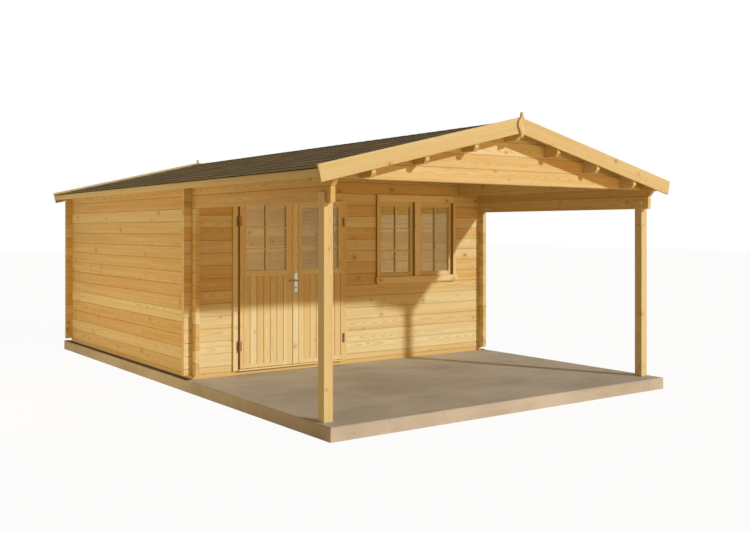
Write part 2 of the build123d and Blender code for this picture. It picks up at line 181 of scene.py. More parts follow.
# Camera of the reference view
CAMERA_PLACE = (-6.018, -9.607, 1.70)
CAMERA_TURN = math.radians(-35.64)
CAMERA_LENS = 43.44
CAMERA_SENSOR = 36.0
CAMERA_SHIFT = -0.0495

# Floor, sky and sun
WHITE = (1.0, 1.0, 1.0, 1.0)
FLOOR_REACH = 60.0
FLOOR_LEVEL = -0.001
FLOOR_TINT = (0.84, 0.66, 0.40, 1.0)
FLOOR_GLOW_SHARE = 0.955
SKY_STRENGTH = 0.23
SKY_TINT = (1.0, 0.57, 0.25, 1.0)
SUN_PLACE = (4.0, -9.0, 6.0)
SUN_WAY = (-0.385, 0.833, -0.4216)
SUN_STRENGTH = 2.25
SUN_SPREAD = math.radians(2.0)

# Lamps: name, place, way, watts, tint, width and height
LAMPS = (("front_lamp", (2.4, -20.0, 1.2), (0.0, 1.0, 0.0), 680, (1.0, 0.52, 0.16), 9.0, 1.0),
         ("side_lamp", (-4.6, 1.25, 0.55), (1.0, 0.0, 0.0), 49, (1.0, 0.77, 0.38), 5.8, 0.4),
         ("room_lamp", (-0.9, -0.2, 1.6), (0.35, 0.9, -0.45), 46, (1.0, 0.80, 0.46), 0.8, 0.8))


def paint(code):
    """Linear colour for a shader, from a colour as it is seen on a screen."""
    parts = [int(code[at:at + 2], 16) / 255 for at in (1, 3, 5)]
    return tuple(c / 12.92 if c <= 0.04045 else ((c + 0.055) / 1.055) ** 2.4 for c in parts) + (1.0,)


def palette(**codes):
    return {label: paint(code) for label, code in codes.items()}


LOG_PINE = palette(Pale="#EAE2B3", Honey="#D6B56C", Ring="#C09350", Knot="#7E5022")
TRIM_PINE = palette(Pale="#E2DCAD", Honey="#D4BD7E", Ring="#C0995B", Knot="#8A5C2C")
DOOR_PINE = palette(Pale="#EEE7B9", Honey="#E3CB8E", Ring="#CFA968", Knot="#8A5C2C")
ROOF_PINE = palette(Pale="#E4D7A3", Honey="#D4B776", Ring="#BC9353", Knot="#744820")
CONCRETE = palette(dull="#AFAA9A", clean="#CBC6B6", swept="#DAD6C5", sand="#A09A8B", pit="#676356")
# Grit tones; the last one is painted shade under the butts of the shingle rows
GRIT = palette(dark="#544A2E", light="#88784F", cloud="#6C5E3C", grain="#907E56", shelter="#1C180F")
# Tones of the dark strips that are painted shade at the foot of the side walls
SHADE_SHEET_TONES = palette(dark="#35260F", light="#463218", sand="#57452A")
GLASS = palette(clear="#F8F6E6", shadow="#EAF2EA")

# Metals: bright and dull tone, roughness, share of metal, and how fine their marks are across
METALS = {"bronzed_steel": (paint("#C0A27A"), paint("#9C7E58"), 0.5, 0.3, 3.0),
          "brushed_steel": (paint("#E2DED4"), paint("#C2BCB0"), 0.3, 0.9, 14.0),
          "lever_bronze": (paint("#C4985A"), paint("#A27A44"), 0.45, 0.25, 6.0),
          "lock_brass": (paint("#8C7A5A"), paint("#4E4230"), 0.3, 1.0, 2.0),
          "nail_steel": (paint("#C8B48A"), paint("#A8946C"), 0.5, 0.5, 2.0)}

# Planed pieces: radius of their eased edges, tones, share of knots, and the number of their grain
TRIM = {"porch_posts": (0.004, TRIM_PINE, TRIM_KNOTS, 400.0),
        "eave_fascias": (0.0025, TRIM_PINE, TRIM_KNOTS, 410.0),
        "front_bargeboards": (0.0025, TRIM_PINE, TRIM_KNOTS, 420.0),
        "back_bargeboards": (0.0025, TRIM_PINE, TRIM_KNOTS, 425.0),
        "finials": (0.002, TRIM_PINE, 0.0, 430.0),
        "ridge_purlin": (0.003, ROOF_PINE, TRIM_KNOTS, 440.0),
        "purlins": (0.003, ROOF_PINE, TRIM_KNOTS, 450.0),
        "door_jambs": (0.006, DOOR_PINE, DOOR_KNOTS, 460.0),
        "door_head": (0.003, DOOR_PINE, DOOR_KNOTS, 470.0),
        "door_threshold": (0.003, DOOR_PINE, DOOR_KNOTS, 471.0),
        "window_sill": (0.003, DOOR_PINE, DOOR_KNOTS, 472.0),
        "meeting_strip": (0.006, DOOR_PINE, DOOR_KNOTS, 480.0),
        "left_door_leaf": (0.0025, DOOR_PINE, DOOR_KNOTS, 500.0),
        "right_door_leaf": (0.0025, DOOR_PINE, DOOR_KNOTS, 530.0),
        "window_frame": (0.003, DOOR_PINE, DOOR_KNOTS, 560.0),
        "window_sashes": (0.0025, DOOR_PINE, DOOR_KNOTS, 600.0)}


# Writing node trees

class Value:
    """An output of a node. Sums with it add math nodes to its graph."""

    def __init__(self, graph, socket):
        self.graph = graph
        self.socket = socket

    def __add__(self, other):
        return self.graph.math("ADD", self, other)

    def __sub__(self, other):
        return self.graph.math("SUBTRACT", self, other)

    def __rsub__(self, other):
        return self.graph.math("SUBTRACT", other, self)

    def __mul__(self, other):
        return self.graph.math("MULTIPLY", self, other)

    def __truediv__(self, other):
        return self.graph.math("DIVIDE", self, other)

    def __abs__(self):
        return self.graph.math("ABSOLUTE", self)


class Graph:
    """Short way to write a node tree: a call adds a node, fills its sockets and gives back what comes out."""

    def __init__(self, tree):
        self.tree = tree

    def fill(self, node, sockets):
        for key, value in sockets.items():
            if isinstance(value, Value):
                self.tree.links.new(value.socket, node.inputs[key])
            else:
                node.inputs[key].default_value = value

    def node(self, kind, sockets=None, **settings):
        made = self.tree.nodes.new(kind)
        for name, value in settings.items():
            setattr(made, name, value)
        self.fill(made, sockets or {})
        return made

    def out(self, kind, sockets=None, at=0, **settings):
        """One output of a new node."""
        return Value(self, self.node(kind, sockets, **settings).outputs[at])

    def outs(self, kind, sockets=None, **settings):
        """All outputs of a new node, by name."""
        return {socket.name: Value(self, socket) for socket in self.node(kind, sockets, **settings).outputs}

    def geometry(self, kind, sockets=None, **settings):
        return self.out("GeometryNode" + kind, sockets, **settings)

    def math(self, operation, *values):
        return self.out("ShaderNodeMath", dict(enumerate(values)), operation=operation)

    def vector(self, x, y, z):
        return self.out("ShaderNodeCombineXYZ", {0: x, 1: y, 2: z})

    def split(self, vector):
        return [Value(self, socket) for socket in self.node("ShaderNodeSeparateXYZ", {0: vector}).outputs]

    def place(self):
        """Place of the shaded point, in the piece's own coordinates."""
        return self.out("ShaderNodeTexCoord", at="Object")

    def here(self):
        """The same place as three numbers."""
        return self.split(self.place())

    def facing(self, axis):
        """How squarely the surface faces one of the piece's own axes."""
        return abs(self.split(self.out("ShaderNodeTexCoord", at="Normal"))[axis])

    def edge(self, offset, width, reach):
        """1 at either edge of a piece of a given width, falling to 0 within reach."""
        return self.ramp(abs(offset), width / 2 - reach, width / 2 - reach / 4)

    def ramp(self, value, start, end, low=0.0, high=1.0):
        """Smooth step from low, where value is start, to high, where it is end."""
        sockets = {"Value": value, "From Min": start, "From Max": end, "To Min": low, "To Max": high}
        return self.out("ShaderNodeMapRange", sockets, interpolation_type="SMOOTHSTEP")

    def noise(self, vector, scale=1.0, detail=2.0, roughness=0.5):
        sockets = {"Vector": vector, "Scale": scale, "Detail": detail, "Roughness": roughness}
        return self.out("ShaderNodeTexNoise", sockets)

    def choose(self, factor, a, b):
        """Mix of two places."""
        return self.out("ShaderNodeMix", {0: factor, 4: a, 5: b}, 1, data_type="VECTOR")

    def layered(self, color, *layers):
        """A colour with others over it, each by its own share."""
        for share, tint in layers:
            color = self.out("ShaderNodeMix", {0: share, 6: color, 7: tint}, 2, data_type="RGBA")
        return color

    def relief(self, shader, height, strength, depth=RELIEF_DEPTH):
        """Bumps on a shader's surface."""
        bumps = self.out("ShaderNodeBump", {"Strength": strength, "Distance": depth, "Height": height})
        self.fill(shader, {"Normal": bumps})

    def surface(self, output, share, shader, other):
        """Ends a tree with a shader that another one covers by a share."""
        mixed = self.out("ShaderNodeMixShader", {0: share, 1: Value(self, shader.outputs[0]), 2: other})
        self.fill(self.tree.nodes[output], {"Surface": mixed})


def new_group(name, kind, inputs, outputs):
    """Graph of a node group, its inputs by name, and the node that takes its result."""
    tree = bpy.data.node_groups.new(name, kind + "NodeTree")
    for way, labels in (("OUTPUT", outputs), ("INPUT", inputs)):
        for label, socket in labels.items():
            tree.interface.new_socket(name=label, in_out=way, socket_type="NodeSocket" + socket)
    graph = Graph(tree)
    return graph, graph.outs("NodeGroupInput"), graph.node("NodeGroupOutput")


# Node groups shared by materials

def pine_grain_group():
    """Solid pine: growth rings round a pith that lies off the piece, fibres, a tone for each piece, and knots
    that the rings bend round. Place is along, across and through the piece, and the shade input is 1 where
    painted shade darkens seams, grooves and rebates."""
    inputs = {"Place": "Vector", "Piece": "Float", "Seam": "Float", "Knots": "Float", "Pale": "Color",
              "Honey": "Color", "Ring": "Color", "Knot": "Color"}
    outputs = {"Color": "Color", "Roughness": "Float", "Height": "Float"}
    g, given, result = new_group("pine_grain", "Shader", inputs, outputs)

    draw = g.out("ShaderNodeTexWhiteNoise", {"W": given["Piece"]}, "Color", noise_dimensions="1D")
    first, second, third = g.split(draw)
    along, across, through = g.split(given["Place"])
    along = along + first * 23.0

    def stretched(lengthwise, crosswise, detail, roughness=0.5):
        """Noise that runs along the piece."""
        place = g.vector(along * lengthwise, across * crosswise, through * crosswise)
        return g.noise(place, 1.0, detail, roughness)

    # Knots are dots on a stretched sheet wrapped round the piece: only some cells of the sheet hold one
    cells_per_metre = 6.5
    sheet = g.vector(along * 0.8, across + through + second * 9.0, 0.0)
    sockets = {"Vector": sheet, "Scale": cells_per_metre}
    cell = g.outs("ShaderNodeTexVoronoi", sockets, voronoi_dimensions="2D")
    chance, size, dark = g.split(cell["Color"])
    ragged = g.noise(given["Place"], 90.0, 2.0) * 0.006
    reach = cell["Distance"] / cells_per_metre + (ragged - 0.003)
    radius = size * size * 0.013 + 0.0055
    has_knot = g.math("LESS_THAN", chance, given["Knots"])
    knot = has_knot * g.ramp(reach / radius, 1.1, 0.65)
    halo = has_knot * g.ramp(reach / radius, 4.5, 0.9)

    # Rings
    rings_per_metre = 210.0
    wander = stretched(0.8, 5.0, 2.0) * 0.03
    pith_across = (second - 0.5) * 0.15
    pith_through = third * 0.07 + 0.035
    lean = g.math("SINE", along * 1.3) * 0.02
    side_way = across - pith_across + wander
    deep_way = through + pith_through + (lean + wander)
    spread = g.math("SQRT", side_way * side_way + deep_way * deep_way)
    rings = g.math("FRACT", (spread + halo * 0.012) * rings_per_metre)
    late_wood = g.math("POWER", rings, 2.2) * g.ramp(rings, 1.0, 0.9)

    # Fibres and long streaks
    fibre = stretched(5.0, 380.0, 3.0)
    streak = stretched(0.55, 24.0, 4.0, 0.6)

    tone = g.ramp(first * 0.45 + streak * 0.75, 0.2, 0.95)
    # The last layer is painted shade: it darkens seams, grooves and rebates toward the knot colour.
    color = g.layered(given["Pale"], (tone, given["Honey"]), (late_wood * 0.55, given["Ring"]),
                      (g.ramp(fibre, 0.62, 0.85, 0.0, 0.35), given["Ring"]), (halo * 0.4, given["Ring"]),
                      (knot * (dark * 0.5 + 0.3), given["Knot"]), (given["Seam"], given["Knot"]))
    g.fill(result, {"Color": color, "Roughness": fibre * 0.2 + (0.5 - knot * 0.12),
                    "Height": fibre * 0.5 + (late_wood * 0.5 - knot * 0.4)})
    return g.tree


def mineral_grain_group():
    """Grains, pits and cloudy patches of a mineral surface, as on cast concrete or the grit of shingles."""
    inputs = {"Place": "Vector", "Grains": "Float", "Clouds": "Float"}
    outputs = {"Clouds": "Float", "Grains": "Float", "Pits": "Float"}
    g, given, result = new_group("mineral_grain", "Shader", inputs, outputs)
    broad = g.noise(given["Place"], given["Clouds"], 6.0, 0.62)
    fine = g.noise(given["Place"], given["Grains"], 2.0, 0.7)
    hole = g.outs("ShaderNodeTexVoronoi", {"Vector": given["Place"], "Scale": given["Grains"] * 0.12})
    rare = g.math("GREATER_THAN", g.split(hole["Color"])[0], 0.72)
    g.fill(result, {"Clouds": g.ramp(broad, 0.32, 0.68), "Grains": g.ramp(fine, 0.3, 0.7),
                    "Pits": rare * g.ramp(hole["Distance"], 0.2, 0.1)})
    return g.tree


PINE_GRAIN = pine_grain_group()
MINERAL_GRAIN = mineral_grain_group()


# Layouts of wood: a point's place in its piece of wood, the piece's number, and how much painted shade darkens
# it there

def rows(graph, value, base, pitch):
    """How far a place is from the middle of its row, and the row's number, where rows lie one pitch apart."""
    level = (value - base) / pitch
    return (graph.math("FRACT", level) - 0.5) * pitch, graph.math("FLOOR", level)


def members(graph, value, spans):
    """How far a place is from the middle of its span, the span's number, and whether it lies in a span."""
    offset, number, inside_any = 0.0, 0.0, 0.0
    for count, (low, high) in enumerate(spans, 1):
        centre = (low + high) / 2
        inside = graph.math("COMPARE", value, centre, (high - low) / 2)
        offset = inside * (value - centre) + offset
        number = inside * float(count) + number
        inside_any = inside + inside_any
    return offset, number, inside_any


def log_layout(along, through, centre, base):
    """Logs of a wall that lie in courses."""
    def layout(graph):
        axes = graph.here()
        offset, course = rows(graph, axes[Z], base, LOG_PITCH)
        place = graph.vector(axes[along], offset, axes[through] - centre)
        # Painted shade in the grooves between courses.
        return place, course, graph.edge(offset, LOG_PITCH, LOG_SEAM) * LOG_GROOVE_SHADE
    return layout


def stick_layout(along, across, spans, centre, seam=0.0):
    """Straight pieces that run along one axis, side by side in spans of another, and centred on the third."""
    def layout(graph):
        axes = graph.here()
        offset, index, _ = members(graph, axes[across], spans)
        place = graph.vector(axes[along], offset, axes[X + Y + Z - along - across] - centre)
        width = spans[0][1] - spans[0][0]
        # Painted shade along the edges of each piece, where the grooves between them lie.
        dark = graph.edge(offset, width, seam) * BOARD_GROOVE_SHADE if seam else 0.0
        return place, index, dark
    return layout


def frame_layout(uprights, rails, centre):
    """A joined frame with painted shade on its faces that face along X, its rebates among them: grain stands in
    its uprights and lies in the rails between them.
    """
    def layout(graph):
        x, y, z = graph.here()
        x_offset, x_index, upright = members(graph, x, uprights)
        z_offset, z_index, _ = members(graph, z, rails)
        depth = y - centre
        place = graph.choose(upright, graph.vector(x, z_offset, depth), graph.vector(z, x_offset, depth))
        piece = x_index + (1.0 - upright) * (z_index + 10.0)
        # Painted shade on every face that faces along X: rebates, bar sides and the frame's edges.
        return place, piece, graph.ramp(graph.facing(X), 0.8, 0.98, 0.0, REBATE_SHADE)
    return layout


def slope_layout(low, centre):
    """Boards that follow the roof's edge, one each side of the ridge."""
    def layout(graph):
        x, y, z = graph.here()
        up = z * ROOF_SINE - abs(x) * ROOF_COSINE
        across = z * ROOF_COSINE + abs(x) * ROOF_SINE
        return graph.vector(up, across - low, y - centre), graph.math("SIGN", x), 0.0
    return layout


def roof_board_layout(graph):
    """Boards from ridge to eave, side by side along the roof."""
    x, y, z = graph.here()
    offset, board = rows(graph, y, ROOF_FRONT, ROOF_BOARD_PITCH)
    place = graph.vector(x, offset, z + abs(x) * ROOF_SLOPE - RIDGE_BOARD_TOP)
    # Painted shade in the V between boards.
    seam = graph.edge(offset, ROOF_BOARD_PITCH, BOARD_SEAM) * ROOF_GROOVE_SHADE
    return place, board + graph.math("SIGN", x) * ROOF_SIDE_GRAIN, seam


def purlin_layout(graph):
    """Roof timbers along the house."""
    x, y, z = graph.here()
    offset, index = rows(graph, x, PURLIN_START, PURLIN_SPACING)
    depth = z + abs(x) * ROOF_SLOPE - (RIDGE_BOARD_TOP - PURLIN_AXIS_DROP)
    return graph.vector(y, depth, offset), index, 0.0


# Materials

def new_material(name):
    """A material with its graph and its Principled shader."""
    material = bpy.data.materials.new(name)
    material.use_nodes = True
    return material, Graph(material.node_tree), material.node_tree.nodes["Principled BSDF"]


def pine(name, layout, tones, number, knots=LOG_KNOTS):
    """Planed pine."""
    material, graph, shader = new_material(name)
    place, piece, seam = layout(graph)
    sockets = {"Place": place, "Piece": piece + number, "Seam": seam, "Knots": knots, **tones}
    wood = graph.outs("ShaderNodeGroup", sockets, node_tree=PINE_GRAIN)
    graph.fill(shader, {"Base Color": wood["Color"], "Roughness": wood["Roughness"],
                        "Specular IOR Level": 0.35})
    graph.relief(shader, wood["Height"], 0.25)
    return material


def mineral(graph, grains, clouds):
    """Clouds, grains and pits of a mineral finish, as fine as the two numbers for each metre say."""
    sockets = {"Place": graph.place(), "Grains": grains, "Clouds": clouds}
    return graph.outs("ShaderNodeGroup", sockets, node_tree=MINERAL_GRAIN)


def concrete(name):
    """Float-finished slab: cloudy, with pits and faint trowel sweeps."""
    material, graph, shader = new_material(name)
    grain = mineral(graph, 160.0, 1.1)
    x, y, z = graph.here()
    sweep = graph.noise(graph.vector(x * 0.9, y * 5.0, z * 5.0), 1.0, 5.0, 0.65)
    color = graph.layered(CONCRETE["dull"], (grain["Clouds"], CONCRETE["clean"]),
                          (graph.ramp(sweep, 0.35, 0.75, 0.0, 0.45), CONCRETE["swept"]),
                          (grain["Grains"] * 0.3, CONCRETE["sand"]), (grain["Pits"] * 0.55, CONCRETE["pit"]))
    graph.fill(shader, {"Base Color": color, "Roughness": grain["Grains"] * 0.18 + 0.74})
    graph.relief(shader, grain["Grains"] * 0.4 - grain["Pits"], 0.35)
    return material


def shingle(name):
    """Bitumen with slate grit: each tab has its own tone, and painted shade darkens it just below the butt of
    the row above.
    """
    material, graph, shader = new_material(name)
    grain = mineral(graph, 420.0, 2.4)
    tone = graph.out("ShaderNodeAttribute", at="Fac", attribute_name="tone")
    row = (ROOF_HALF - abs(graph.here()[X])) / (SHINGLE_EXPOSURE * ROOF_COSINE)
    # Painted shade: the upper part of each exposed row, under the butt of the row above, is darkened.
    shelter = graph.ramp(graph.math("FRACT", row), 0.64, 0.95)
    color = graph.layered(GRIT["dark"], (tone, GRIT["light"]), (grain["Clouds"] * 0.35, GRIT["cloud"]),
                          (grain["Grains"] * 0.45, GRIT["grain"]), (shelter * 0.82, GRIT["shelter"]))
    rough = grain["Grains"] * 0.15 + 0.8
    graph.fill(shader, {"Base Color": color, "Roughness": rough, "Specular IOR Level": 0.15})
    graph.relief(shader, grain["Grains"], 0.5)
    return material


def shade_sheet(name):
    """Dark brown sheet with fine sand, which is painted shade: it stands for the shadow along the foot of the
    side walls.
    """
    material, graph, shader = new_material(name)
    grain = mineral(graph, 500.0, 6.0)
    color = graph.layered(SHADE_SHEET_TONES["dark"], (grain["Clouds"], SHADE_SHEET_TONES["light"]),
                          (grain["Grains"] * 0.4, SHADE_SHEET_TONES["sand"]))
    graph.fill(shader, {"Base Color": color, "Roughness": grain["Grains"] * 0.15 + 0.8})
    return material


def pane_glass(name):
    """Clear float glass that lets lamp light through."""
    material, graph, shader = new_material(name)
    graph.fill(shader, {"Base Color": GLASS["clear"], "Roughness": 0.0, "IOR": 1.4,
                        "Transmission Weight": 1.0})
    graph.relief(shader, graph.noise(graph.place(), 3.0, 1.0), 0.03)
    clear = graph.out("ShaderNodeBsdfTransparent", {"Color": GLASS["shadow"]})
    graph.surface("Material Output", graph.out("ShaderNodeLightPath", at="Is Shadow Ray"), shader, clear)
    return material


def metal(name):
    """Rolled metal with drawn marks."""
    bright, dull, roughness, metal_share, brush = METALS[name]
    material, graph, shader = new_material(name)
    x, y, z = graph.here()
    marks = graph.noise(graph.vector(x * brush, y * brush, z), 60.0, 3.0, 0.6)
    color = graph.layered(dull, (marks, bright))
    graph.fill(shader, {"Base Color": color, "Roughness": marks * 0.14 + roughness, "Metallic": metal_share})
    graph.relief(shader, marks, 0.08, METAL_RELIEF_DEPTH)
    return material


# Geometry Nodes trees

def new_tree(name, **inputs):
    return new_group(name, "Geometry", inputs | {"Material": "Material"}, {"Geometry": "Geometry"})


def close_tree(graph, given, result, instances, shape=None):
    """Ends a tree and gives it back: instances become real, may be shaped once more, and get their material."""
    real = graph.geometry("RealizeInstances", {0: instances})
    real = shape(real) if shape else real
    done = graph.geometry("SetMaterial", {"Geometry": real, "Material": given["Material"]})
    graph.fill(result, {"Geometry": done})
    return graph.tree


def toned(graph, instances, seed):
    """Gives each instance a tone of its own, between 0 and 1."""
    chance = graph.out("FunctionNodeRandomValue", {"Seed": seed}, 1, data_type="FLOAT")
    return graph.geometry("StoreNamedAttribute", {"Geometry": instances, "Name": "tone", "Value": chance},
                          data_type="FLOAT", domain="INSTANCE")


def laid_in_line(graph, piece, count, start, step):
    """Instances of a piece along X."""
    line = graph.geometry("MeshLine", {"Count": count, "Start Location": graph.vector(start, 0.0, 0.0),
                                       "Offset": graph.vector(step, 0.0, 0.0)})
    return graph.geometry("InstanceOnPoints", {"Points": line, "Instance": piece})


def bars_tree():
    """Bars or boards with chamfered edges that stand along Z, side by side along X."""
    g, given, result = new_tree("chamfered_bars", Count="Int", Spacing="Float", Width="Float",
                                Thickness="Float", Length="Float", Chamfer="Float")
    size = {"Width": given["Width"], "Height": given["Thickness"]}
    section = g.geometry("CurvePrimitiveQuadrilateral", size)
    cut = {"Curve": section, "Radius": given["Chamfer"], "Count": 1}
    section = g.geometry("FilletCurve", cut, mode="POLY")
    face = g.geometry("FillCurve", {"Curve": section}, mode="NGONS")
    bar = g.geometry("ExtrudeMesh", {"Mesh": face, "Offset": (0.0, 0.0, 1.0), "Offset Scale": given["Length"],
                                     "Individual": False})
    both = g.node("GeometryNodeJoinGeometry")
    for part in (bar, g.geometry("FlipFaces", {"Mesh": face})):
        g.fill(both, {0: part})
    whole = g.geometry("MergeByDistance", {"Geometry": Value(g, both.outputs[0]), "Distance": MERGE_DISTANCE})
    start = (given["Count"] - 1.0) * given["Spacing"] * -0.5
    return close_tree(g, given, result, laid_in_line(g, whole, given["Count"], start, given["Spacing"]))


def shingles_tree():
    """Overlapping rows of tabs on a flat slope: X along the roof, Y up the slope. Every other row is shifted
    by half a tab, each tab rests on the row below it, and the rows are trimmed square at both ends."""
    g, given, result = new_tree("shingle_rows", Rows="Int", Tabs="Int", Exposure="Float", Tab="Float",
                                Slot="Float", Thickness="Float", Overlap="Float", Seed="Int")
    columns = given["Tabs"] + 1.0
    index = g.geometry("InputIndex")
    row = g.math("FLOOR", (index + 0.5) / columns)
    column = index - row * columns
    odd = g.math("MODULO", row, 2.0)
    along = (column - odd * 0.5 + 0.5) * given["Tab"]
    length = given["Exposure"] + given["Overlap"]
    upward = row * given["Exposure"] + length * 0.5
    points = g.geometry("MeshLine", {"Count": given["Rows"] * columns})
    points = g.geometry("SetPosition", {"Geometry": points, "Position": g.vector(along, upward, 0.0)})
    end = given["Tab"] * given["Tabs"]
    beyond = g.math("GREATER_THAN", along - given["Tab"] * 0.5, end - SHINGLE_END_MARGIN)
    points = g.geometry("DeleteGeometry", {"Geometry": points, "Selection": beyond})
    tab = g.geometry("MeshCube", {"Size": g.vector(given["Tab"] - given["Slot"], length, given["Thickness"])})
    y = g.split(g.geometry("InputPosition"))[Y]
    lift = (length * 0.5 - y) * (given["Thickness"] / given["Exposure"])
    rise = g.vector(0.0, 0.0, lift + given["Thickness"] * 0.5)
    tab = g.geometry("SetPosition", {"Geometry": tab, "Offset": rise})
    laid = g.geometry("InstanceOnPoints", {"Points": points, "Instance": tab})

    def trimmed(real):
        x, y, z = g.split(g.geometry("InputPosition"))
        inside = g.math("MINIMUM", g.math("MAXIMUM", x, 0.0), end)
        return g.geometry("SetPosition", {"Geometry": real, "Position": g.vector(inside, y, z)})

    return close_tree(g, given, result, toned(g, laid, given["Seed"]), trimmed)


def ridge_tree():
    """Tabs folded over the ridge, one over the next, along X."""
    g, given, result = new_tree("ridge_tabs", Count="Int", Exposure="Float", Length="Float", Reach="Float",
                                Thickness="Float", Rise="Float", Seed="Int")
    size = g.vector(given["Length"], given["Reach"] * 2.0, given["Thickness"])
    tab = g.geometry("MeshCube", {"Size": size, "Vertices X": 2, "Vertices Y": 3, "Vertices Z": 2})
    x, y, _ = g.split(g.geometry("InputPosition"))
    tilt = (x + given["Length"] * 0.5) * (given["Thickness"] / given["Exposure"])
    drop = g.vector(0.0, 0.0, tilt - abs(y) * given["Rise"] + given["Thickness"] * 0.5)
    tab = g.geometry("SetPosition", {"Geometry": tab, "Offset": drop})
    laid = laid_in_line(g, tab, given["Count"], given["Length"] * 0.5, given["Exposure"])
    return close_tree(g, given, result, toned(g, laid, given["Seed"]))


def heads_tree():
    """Round heads on the points of the piece's own mesh, each with a socket in its face."""
    g, given, result = new_tree("fastener_heads", Places="Geometry", Radius="Float", Height="Float",
                                Tilt="Float")
    head = g.outs("GeometryNodeMeshCylinder", {"Vertices": SCREW_SIDES, "Radius": given["Radius"],
                                               "Depth": given["Height"]})
    rim = g.outs("GeometryNodeExtrudeMesh", {"Mesh": head["Mesh"], "Selection": head["Top"],
                                             "Offset Scale": 0.0, "Individual": False})
    narrow = g.geometry("ScaleElements", {"Geometry": rim["Mesh"], "Selection": rim["Top"],
                                          "Scale": SOCKET_WIDTH_SHARE})
    depth = given["Height"] * -SOCKET_DEPTH_SHARE
    sunk = g.geometry("ExtrudeMesh", {"Mesh": narrow, "Selection": rim["Top"], "Offset Scale": depth,
                                      "Individual": False})
    turn = g.out("FunctionNodeEulerToRotation", {0: g.vector(given["Tilt"], 0.0, 0.0)})
    set_in = g.geometry("InstanceOnPoints", {"Points": given["Places"], "Instance": sunk, "Rotation": turn})
    return close_tree(g, given, result, set_in)


BARS = bars_tree()
HEADS = heads_tree()


# Making pieces

def new_piece(name, mesh):
    piece = bpy.data.objects.new(name, mesh)
    bpy.context.scene.collection.objects.link(piece)
    return piece


def settled(name, edited, material):
    """A piece made of an edited mesh."""
    mesh = bpy.data.meshes.new(name)
    edited.to_mesh(mesh)
    edited.free()
    mesh.materials.append(material)
    return new_piece(name, mesh)


def grow(name, tree, values, place=Matrix(), points=()):
    """Runs a tree and keeps what it makes as a plain mesh, set in its place."""
    mesh = bpy.data.meshes.new(name)
    mesh.from_pydata(points, [], [])
    piece = new_piece(name, mesh)
    maker = piece.modifiers.new(name, "NODES")
    maker.node_group = tree
    sockets = {item.name: item.identifier for item in tree.interface.items_tree if item.in_out == "INPUT"}
    for label, value in values.items():
        maker[sockets[label]] = value
    made = bpy.data.meshes.new_from_object(piece.evaluated_get(bpy.context.evaluated_depsgraph_get()))
    piece.modifiers.clear()
    made.transform(place)
    made.materials.clear()
    made.materials.append(values["Material"])
    made.polygons.foreach_set("material_index", [0] * len(made.polygons))
    made.shade_flat()
    piece.data = made
    return piece


def keep(piece, body, slot, *stands_for):
    """A finished piece: it moves with a body and may stand for nodes. The slot is not used."""
    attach(piece, body)
    if stands_for:
        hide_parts(*stands_for)


def lay_bars(name, place, finish, size, chamfer, count=1, spacing=0.0):
    """Bars or boards side by side. Their size is width, thickness and length."""
    width, thickness, length = size
    values = {"Count": count, "Spacing": spacing, "Width": width, "Thickness": thickness, "Length": length,
              "Chamfer": chamfer, "Material": finish}
    return grow(name, BARS, values, place)


def set_heads(name, points, radius, height, tilt, finish, body, slot):
    """Round heads at given points."""
    values = {"Radius": radius, "Height": height, "Tilt": tilt, "Material": finish}
    keep(grow(name, HEADS, values, points=points), body, slot)


def gather(name, pieces):
    """Joins pieces of one material into one."""
    joined = bmesh.new()
    for piece in pieces:
        joined.from_mesh(piece.data)
    material = pieces[0].data.materials[0]
    for piece in pieces:
        bpy.data.objects.remove(piece)
    return settled(name, joined, material)


def axes_place(origin, x_axis, y_axis):
    """Matrix that sets a piece's own X and Y along two directions."""
    x_axis, y_axis = Vector(x_axis).normalized(), Vector(y_axis).normalized()
    turn = Matrix((x_axis, y_axis, x_axis.cross(y_axis))).transposed()
    return Matrix.Translation(origin) @ turn.to_4x4()


def ring(name, x_span, z_span, y_face, way, size, material):
    """Mitred bead round an opening, with a sloped inner face, lying against the pane."""
    mesh = bmesh.new()
    loops = []
    flat, edge = size * BEAD_FLAT_SHARE, size * BEAD_EDGE_SHARE
    for inset, proud in ((0.0, 0.0), (0.0, size), (flat, size), (size, edge), (size, 0.0)):
        left, right = x_span[0] + inset, x_span[1] - inset
        low, high = z_span[0] + inset, z_span[1] - inset
        corners = ((left, low), (right, low), (right, high), (left, high))
        loops.append([mesh.verts.new((x, y_face + way * proud, z)) for x, z in corners])
    for one, two in zip(loops, loops[1:] + loops[:1]):
        for at in range(4):
            mesh.faces.new((one[at], one[(at + 1) % 4], two[(at + 1) % 4], two[at]))
    bmesh.ops.recalc_face_normals(mesh, faces=mesh.faces)
    return settled(name, mesh, material)


def eased(node, radius, material):
    """A copy of a sawn piece with its sharp edges taken off."""
    mesh = bmesh.new()
    mesh.from_mesh(frame["nodes"][node].data)
    bmesh.ops.remove_doubles(mesh, verts=mesh.verts, dist=MERGE_DISTANCE)
    bmesh.ops.dissolve_limit(mesh, angle_limit=FLAT_ANGLE, verts=mesh.verts, edges=mesh.edges)
    sharp = [edge for edge in mesh.edges if edge.is_manifold and edge.calc_face_angle() > SHARP_ANGLE]
    bmesh.ops.bevel(mesh, geom=sharp, offset=radius, segments=2, profile=0.5, affect="EDGES",
                    clamp_overlap=True)
    return settled(node + "_eased", mesh, material)


# Places read from the frame

def span(node, axis):
    low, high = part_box(node)
    return low[axis], high[axis]


def middle(node, axis):
    return sum(span(node, axis)) / 2


def pair(node, axis, width):
    """Spans of the two pieces of a node that lie at either end of an axis."""
    low, high = span(node, axis)
    return [(low, low + width), (high - width, high)]


